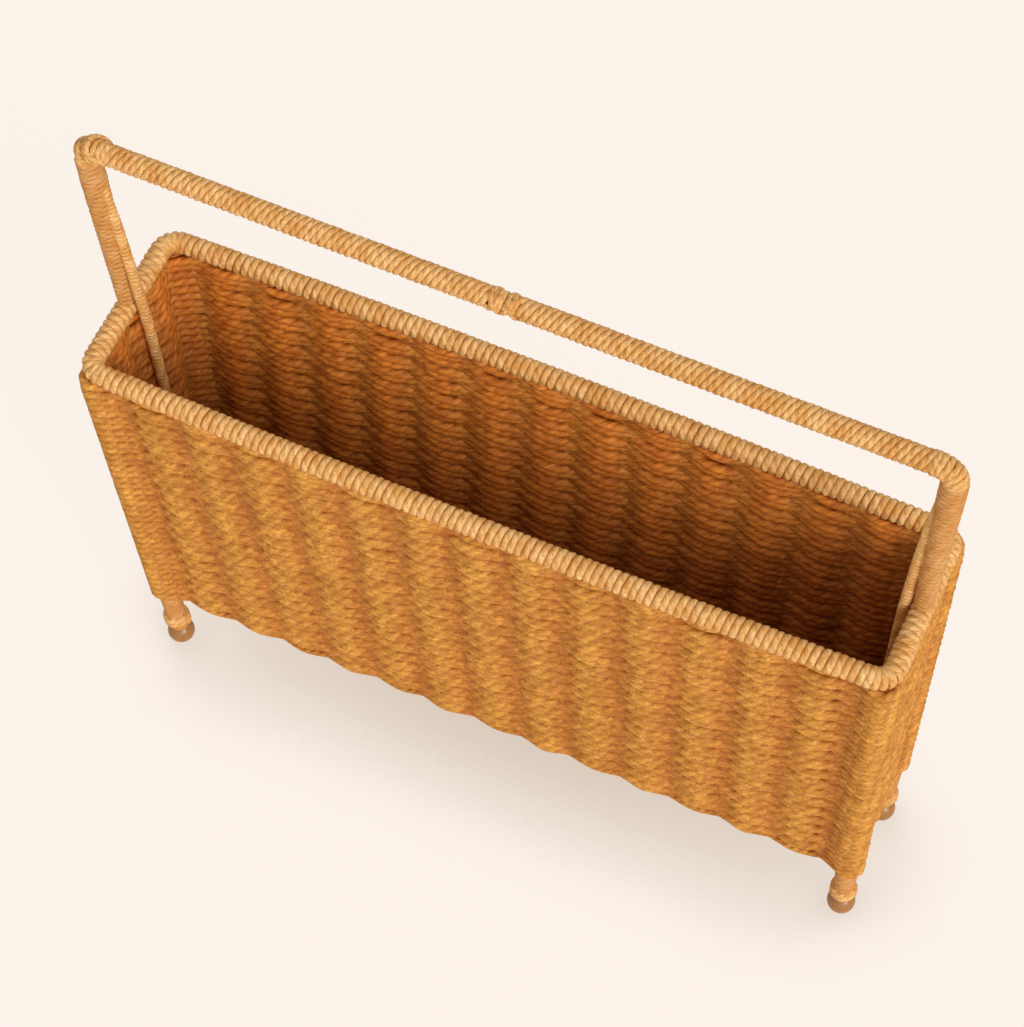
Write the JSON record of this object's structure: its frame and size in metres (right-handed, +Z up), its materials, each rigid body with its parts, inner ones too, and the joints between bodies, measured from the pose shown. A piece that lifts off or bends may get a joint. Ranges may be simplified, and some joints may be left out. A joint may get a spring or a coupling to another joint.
{
  "type": "magazine basket",
  "caption": "Long narrow freestanding magazine basket: woven cord walls on a rod frame, corded rim, fixed arched handle, ball feet.",
  "frame": {"origin": "on the floor, under the middle of the basket", "axes": "+Z up, +X along the length, the front faces -Y"},
  "size_m": [0.4998, 0.117, 0.5027],
  "materials": {
    "wound_cord": "twisted natural cord, wound",
    "woven_cord": "twisted natural cord, woven",
    "steel_rod": "plain welded rod, hidden",
    "turned_wood": "stained and lacquered, turned"
  },
  "bodies": {
    "root": {"ball_foot_back_left": "turned_wood", "ball_foot_back_right": "turned_wood", "ball_foot_front_left": "turned_wood", "ball_foot_front_right": "turned_wood", "corner_post_back_left": "steel_rod", "corner_post_back_right": "steel_rod", "corner_post_front_left": "steel_rod", "corner_post_front_right": "steel_rod", "cross_stake_01": "steel_rod", "cross_stake_02": "steel_rod", "cross_stake_03": "steel_rod", "cross_stake_04": "steel_rod", "cross_stake_05": "steel_rod", "cross_stake_06": "steel_rod", "cross_stake_07": "steel_rod", "cross_stake_08": "steel_rod", "cross_stake_09": "steel_rod", "cross_stake_10": "steel_rod", "cross_stake_11": "steel_rod", "cross_stake_12": "steel_rod", "cross_stake_13": "steel_rod", "end_stake_left_1": "steel_rod", "end_stake_left_2": "steel_rod", "end_stake_left_3": "steel_rod", "end_stake_right_1": "steel_rod", "end_stake_right_2": "steel_rod", "end_stake_right_3": "steel_rod", "handle_bar_wrap_left": "wound_cord", "handle_bar_wrap_right": "wound_cord", "handle_corner_wrap_left": "wound_cord", "handle_corner_wrap_right": "wound_cord", "handle_rod": "steel_rod", "handle_splice_wrap": "wound_cord", "handle_stay_rod_left": "steel_rod", "handle_stay_rod_right": "steel_rod", "handle_stay_wrap_left": "wound_cord", "handle_stay_wrap_right": "wound_cord", "handle_upright_wrap_left": "wound_cord", "handle_upright_wrap_right": "wound_cord", "leg_collar_back_left": "wound_cord", "leg_collar_back_right": "wound_cord", "leg_collar_front_left": "wound_cord", "leg_collar_front_right": "wound_cord", "leg_wrap_back_left": "wound_cord", "leg_wrap_back_right": "wound_cord", "leg_wrap_front_left": "wound_cord", "leg_wrap_front_right": "wound_cord", "rim_hoop": "steel_rod", "rim_wrap_back": "wound_cord", "rim_wrap_front": "wound_cord", "rim_wrap_left": "wound_cord", "rim_wrap_right": "wound_cord", "woven_base": "woven_cord", "woven_panel_back": "woven_cord", "woven_panel_front": "woven_cord", "woven_panel_left": "woven_cord", "woven_panel_right": "woven_cord"}
  },
  "joints": []
}
